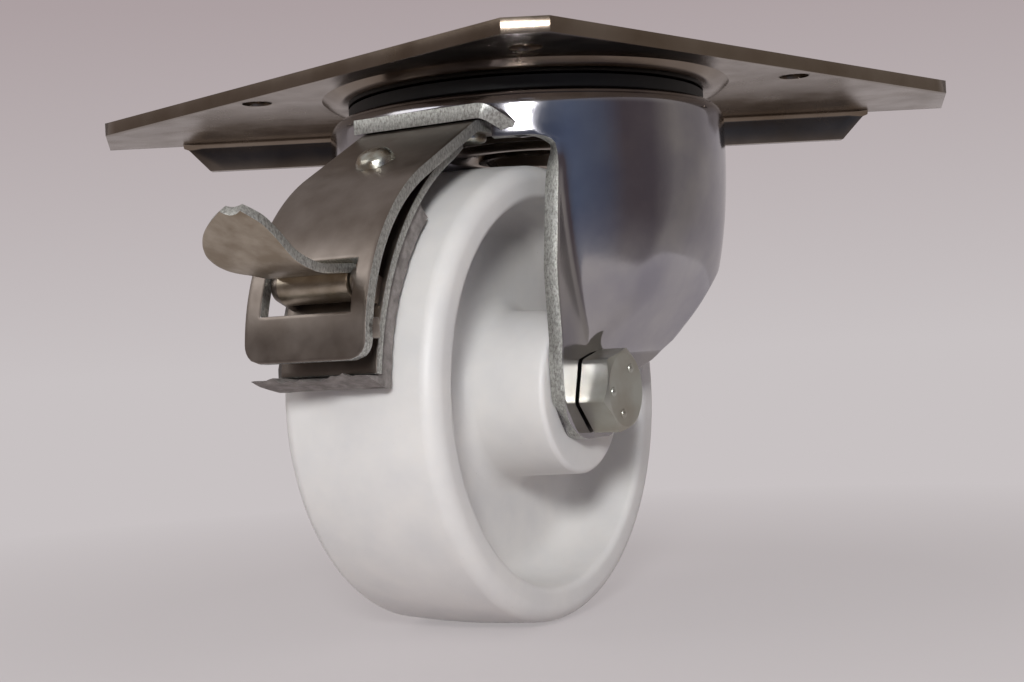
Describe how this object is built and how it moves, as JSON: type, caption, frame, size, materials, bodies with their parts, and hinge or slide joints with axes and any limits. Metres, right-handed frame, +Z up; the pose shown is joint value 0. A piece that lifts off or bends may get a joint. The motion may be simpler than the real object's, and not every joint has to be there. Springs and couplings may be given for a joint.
{
  "type": "braked castor",
  "caption": "Swivel castor with a triangular corner plate, a deep drawn fork, a white plastic wheel and a lever brake on the trailing side.",
  "frame": {"origin": "on the swivel axis, in the plane of the top plate's mounting face", "axes": "+Z up out of the mounting face, +X along the plate's flanged edge, the blunt apex points to -Y"},
  "size_m": [0.1812, 0.1268, 0.0984],
  "materials": {
    "zinc_plate": "bright zinc plated pressed steel",
    "zinc_mirror": "mirror zinc plated drawn steel",
    "zinc_satin": "satin zinc plated strip",
    "zinc_yellow": "zinc plated bolt steel",
    "bright_steel": "bright drawn steel",
    "bearing_steel": "polished balls",
    "white_nylon": "moulded white nylon, satin gloss",
    "nylon_insert": "moulded nylon",
    "brake_rubber": "grey moulded rubber, torn end",
    "black_plastic": "moulded black plastic"
  },
  "bodies": {
    "plate": {"top_plate": "zinc_plate", "kingpin": "zinc_plate", "kingpin_washer": "zinc_plate", "lower_race_cup": "zinc_plate", "upper_balls": "bearing_steel", "lower_balls": "bearing_steel"},
    "fork": {"dust_ring": "black_plastic", "fork": "zinc_mirror", "axle_tube": "bright_steel", "axle_bolt": "zinc_yellow", "axle_nut": "zinc_yellow", "nut_insert": "nylon_insert", "brake_cover": "zinc_satin", "brake_rivet": "zinc_satin", "mount_rivets": "zinc_satin"},
    "wheel": {"wheel": "white_nylon"},
    "brake": {"brake_leaf": "zinc_satin", "brake_pad": "brake_rubber", "lever_pin": "bright_steel"},
    "lever": {"brake_lever": "zinc_satin"}
  },
  "joints": [
    {"name": "swivel", "type": "hinge", "parent": "plate", "child": "fork", "pos_m": [0, 0, 0], "axis": [0, 0, 1], "continuous": true},
    {"name": "wheel_spin", "type": "hinge", "parent": "fork", "child": "wheel", "pos_m": [-0.01003, -0.0173, -0.0584], "axis": [0.8652, -0.5015, 0], "continuous": true},
    {"name": "brake_flex", "type": "hinge", "parent": "fork", "child": "brake", "pos_m": [-0.0242, -0.04174, -0.02303], "axis": [0.8652, -0.5015, 0], "range_deg": [0, 1.2]},
    {"name": "lever_turn", "type": "hinge", "parent": "brake", "child": "lever", "pos_m": [-0.03312, -0.05714, -0.03942], "axis": [0.8652, -0.5015, 0], "range_deg": [0, 45]}
  ],
  "couplings": [
    {"joint": "brake_flex", "follows": "lever_turn", "ratio": 0.0258}
  ]
}
